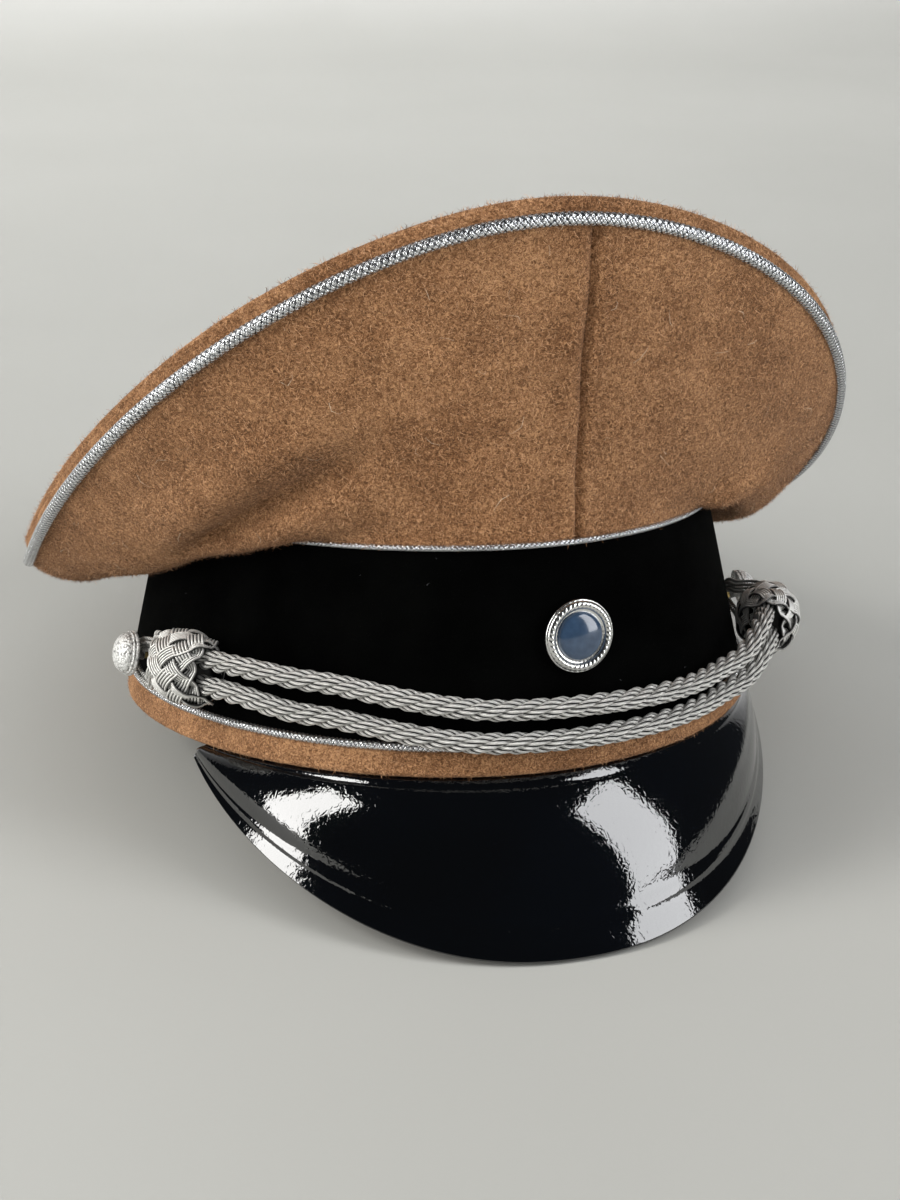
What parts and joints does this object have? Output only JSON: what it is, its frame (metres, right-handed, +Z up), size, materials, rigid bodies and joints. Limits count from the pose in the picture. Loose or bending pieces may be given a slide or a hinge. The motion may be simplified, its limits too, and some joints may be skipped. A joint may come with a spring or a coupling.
{
  "type": "peaked cap",
  "caption": "Peaked uniform cap with a saddle-shaped wool crown, velvet band, metallic piping, lacquered visor and a knotted double chin cord between side buttons.",
  "frame": {"origin": "on the table, under the middle of the cap's overall box, with the cap standing on the lip of its visor and on the rear of its band", "axes": "+Z up, -Y to the front of the cap (the visor), +X to the wearer's left"},
  "size_m": [0.2242, 0.267, 0.1748],
  "materials": {
    "wool": "fulled wool felt with a short nap",
    "velvet": "deep black velvet",
    "silver_cord": "twisted matt aluminium thread",
    "silver_piping": "braided bright aluminium thread",
    "lacquer": "high-gloss black lacquer",
    "silver_metal": "bright, pebbled",
    "enamel": "glossy enamel",
    "steel": "plain spring steel",
    "brass": "plain",
    "leather": "smooth sweatband leather",
    "lining": "satin rayon",
    "board": "stiff buckram",
    "celluloid": "clear yellowed celluloid"
  },
  "bodies": {
    "cap": {"crown_front_left": "wool", "crown_front_right": "wool", "crown_rear_left": "wool", "crown_rear_right": "wool", "crown_top": "wool", "band_edge_strip": "wool", "band_velvet": "velvet", "band_board": "board", "front_stiffener": "board", "band_piping_lower": "silver_piping", "band_piping_upper": "silver_piping", "crown_piping": "silver_piping", "crown_wire": "steel", "front_stay": "steel", "sweatband": "leather", "visor_lining": "leather", "sweatband_bow": "lining", "lining_top": "lining", "lining_side": "lining", "sweat_shield": "celluloid", "visor": "lacquer", "badge": "silver_metal", "badge_boss": "enamel", "badge_pin": "brass"},
    "chin_cord": {"chin_cord_upper": "silver_cord", "chin_cord_lower": "silver_cord", "chin_loop_left": "silver_cord", "chin_loop_right": "silver_cord"},
    "knot_left": {"knot_left": "silver_cord"},
    "knot_right": {"knot_right": "silver_cord"},
    "button_left": {"button_left": "silver_metal", "button_prongs_left": "brass", "button_washer_left": "steel"},
    "button_right": {"button_right": "silver_metal", "button_prongs_right": "brass", "button_washer_right": "steel"}
  },
  "joints": [
    {"name": "chin_cord_swing", "type": "hinge", "parent": "cap", "child": "chin_cord", "pos_m": [0, -0.0213, 0.03924], "axis": [1, 0, 0], "range_deg": [-2.5, 2]},
    {"name": "knot_left_slide", "type": "hinge", "parent": "chin_cord", "child": "knot_left", "pos_m": [-0.03395, -0.00536, 0.03821], "axis": [0, 0.1864, 0.9825], "range_deg": [-3.5, 1.5]},
    {"name": "knot_right_slide", "type": "hinge", "parent": "chin_cord", "child": "knot_right", "pos_m": [0.03395, -0.00536, 0.03821], "axis": [0, 0.1864, 0.9825], "range_deg": [-1.5, 3.5]},
    {"name": "button_left_turn", "type": "hinge", "parent": "cap", "child": "button_left", "pos_m": [0.08146, -0.02107, 0.03864], "axis": [0.9636, -0.0976, 0.2488], "continuous": true},
    {"name": "button_right_turn", "type": "hinge", "parent": "cap", "child": "button_right", "pos_m": [-0.08146, -0.02107, 0.03864], "axis": [-0.9636, -0.0976, 0.2488], "continuous": true}
  ]
}
